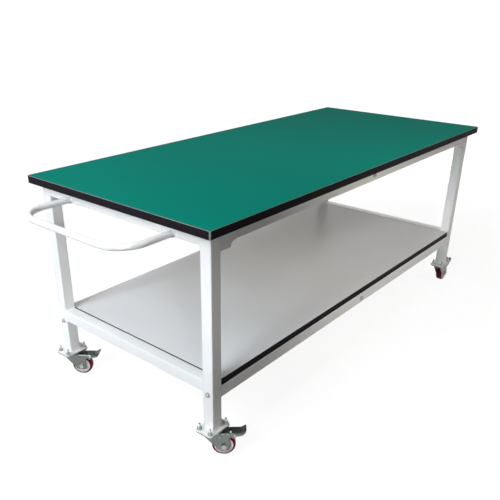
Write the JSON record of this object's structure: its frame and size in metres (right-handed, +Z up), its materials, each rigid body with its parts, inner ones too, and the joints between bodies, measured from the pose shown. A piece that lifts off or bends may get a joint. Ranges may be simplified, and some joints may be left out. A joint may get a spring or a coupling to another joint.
{
  "type": "mobile workbench",
  "caption": "Wheeled workbench: laminated worktop on a bolted square-tube frame with a lower shelf, a bent push handle at one end and braked swivel casters.",
  "frame": {"origin": "on the floor, midway between the handle's outer side and the front right pedal's tip, and midway across the bench", "axes": "+X along the bench away from the push handle, +Y to the rear long side, +Z up"},
  "size_m": [2.0126, 0.8788, 0.76],
  "materials": {
    "green_laminate": "satin green high pressure laminate",
    "grey_laminate": "light grey laminate",
    "backing_sheet": "plain balancing laminate",
    "particle_board": "pressed wood core",
    "black_edge_band": "black edge band",
    "white_enamel": "white powder coat",
    "zinc_steel": "zinc plated pressed steel",
    "bright_steel": "bright zinc plated fasteners",
    "bearing_steel": "polished bearing steel",
    "white_nylon": "moulded pale nylon",
    "red_polyurethane": "dark red cast polyurethane",
    "black_pedal": "moulded black plastic"
  },
  "bodies": {
    "bench": {"worktop_laminate": "green_laminate", "worktop_core": "particle_board", "worktop_backing": "backing_sheet", "worktop_edge_band": "black_edge_band", "shelf_laminate": "grey_laminate", "shelf_core": "particle_board", "shelf_edge_band": "black_edge_band", "upper_cross_rail": "white_enamel", "lower_cross_rail": "white_enamel", "push_handle": "white_enamel", "base_plates": "white_enamel", "rail_brackets_and_plugs": "white_enamel", "rail_bolts": "bright_steel", "board_screws": "bright_steel", "caster_bolts": "bright_steel", "caster_plates": "zinc_steel", "front_left_leg": "white_enamel", "front_right_leg": "white_enamel", "upper_front_side_rail": "white_enamel", "lower_front_side_rail": "white_enamel", "rear_left_leg": "white_enamel", "rear_right_leg": "white_enamel", "upper_rear_side_rail": "white_enamel", "lower_rear_side_rail": "white_enamel", "left_upper_end_rail": "white_enamel", "left_lower_end_rail": "white_enamel", "right_upper_end_rail": "white_enamel", "right_lower_end_rail": "white_enamel"},
    "front_left_swivel": {"front_left_fork": "zinc_steel", "front_left_swivel_balls": "bearing_steel", "front_left_pins": "bright_steel"},
    "front_left_wheel": {"front_left_wheel_core": "white_nylon", "front_left_tyre": "red_polyurethane", "front_left_wheel_bearings": "bearing_steel"},
    "front_left_pedal": {"front_left_brake_lever": "zinc_steel", "front_left_pedal_pad": "black_pedal"},
    "rear_left_swivel": {"rear_left_fork": "zinc_steel", "rear_left_swivel_balls": "bearing_steel", "rear_left_pins": "bright_steel"},
    "rear_left_wheel": {"rear_left_wheel_core": "white_nylon", "rear_left_tyre": "red_polyurethane", "rear_left_wheel_bearings": "bearing_steel"},
    "rear_left_pedal": {"rear_left_brake_lever": "zinc_steel", "rear_left_pedal_pad": "black_pedal"},
    "front_right_swivel": {"front_right_fork": "zinc_steel", "front_right_swivel_balls": "bearing_steel", "front_right_pins": "bright_steel"},
    "front_right_wheel": {"front_right_wheel_core": "white_nylon", "front_right_tyre": "red_polyurethane", "front_right_wheel_bearings": "bearing_steel"},
    "front_right_pedal": {"front_right_brake_lever": "zinc_steel", "front_right_pedal_pad": "black_pedal"},
    "rear_right_swivel": {"rear_right_fork": "zinc_steel", "rear_right_swivel_balls": "bearing_steel", "rear_right_pins": "bright_steel"},
    "rear_right_wheel": {"rear_right_wheel_core": "white_nylon", "rear_right_tyre": "red_polyurethane", "rear_right_wheel_bearings": "bearing_steel"},
    "rear_right_pedal": {"rear_right_brake_lever": "zinc_steel", "rear_right_pedal_pad": "black_pedal"}
  },
  "joints": [
    {"name": "front_left_swivel_turn", "type": "hinge", "parent": "bench", "child": "front_left_swivel", "pos_m": [-0.7915, -0.352, 0.08515], "axis": [0, 0, 1], "continuous": true},
    {"name": "front_left_wheel_spin", "type": "hinge", "parent": "front_left_swivel", "child": "front_left_wheel", "pos_m": [-0.76919, -0.37766, 0.0375], "axis": [0.7547, 0.6561, 0], "continuous": true},
    {"name": "front_left_pedal_press", "type": "hinge", "parent": "front_left_swivel", "child": "front_left_pedal", "pos_m": [-0.74689, -0.40332, 0.07715], "axis": [0.7547, 0.6561, 0], "range_deg": [0, 18]},
    {"name": "rear_left_swivel_turn", "type": "hinge", "parent": "bench", "child": "rear_left_swivel", "pos_m": [-0.7915, 0.352, 0.08515], "axis": [0, 0, 1], "continuous": true},
    {"name": "rear_left_wheel_spin", "type": "hinge", "parent": "rear_left_swivel", "child": "rear_left_wheel", "pos_m": [-0.77152, 0.32449, 0.0375], "axis": [0.809, 0.5878, 0], "continuous": true},
    {"name": "rear_left_pedal_press", "type": "hinge", "parent": "rear_left_swivel", "child": "rear_left_pedal", "pos_m": [-0.75153, 0.29699, 0.07715], "axis": [0.809, 0.5878, 0], "range_deg": [0, 18]},
    {"name": "front_right_swivel_turn", "type": "hinge", "parent": "bench", "child": "front_right_swivel", "pos_m": [0.9025, -0.352, 0.08515], "axis": [0, 0, 1], "continuous": true},
    {"name": "front_right_wheel_spin", "type": "hinge", "parent": "front_right_swivel", "child": "front_right_wheel", "pos_m": [0.9365, -0.352, 0.0375], "axis": [0, 1, 0], "continuous": true},
    {"name": "front_right_pedal_press", "type": "hinge", "parent": "front_right_swivel", "child": "front_right_pedal", "pos_m": [0.9705, -0.352, 0.07715], "axis": [0, 1, 0], "range_deg": [0, 18]},
    {"name": "rear_right_swivel_turn", "type": "hinge", "parent": "bench", "child": "rear_right_swivel", "pos_m": [0.9025, 0.352, 0.08515], "axis": [0, 0, 1], "continuous": true},
    {"name": "rear_right_wheel_spin", "type": "hinge", "parent": "rear_right_swivel", "child": "rear_right_wheel", "pos_m": [0.92481, 0.37766, 0.0375], "axis": [-0.7547, 0.6561, 0], "continuous": true},
    {"name": "rear_right_pedal_press", "type": "hinge", "parent": "rear_right_swivel", "child": "rear_right_pedal", "pos_m": [0.94711, 0.40332, 0.07715], "axis": [-0.7547, 0.6561, 0], "range_deg": [0, 18]}
  ]
}
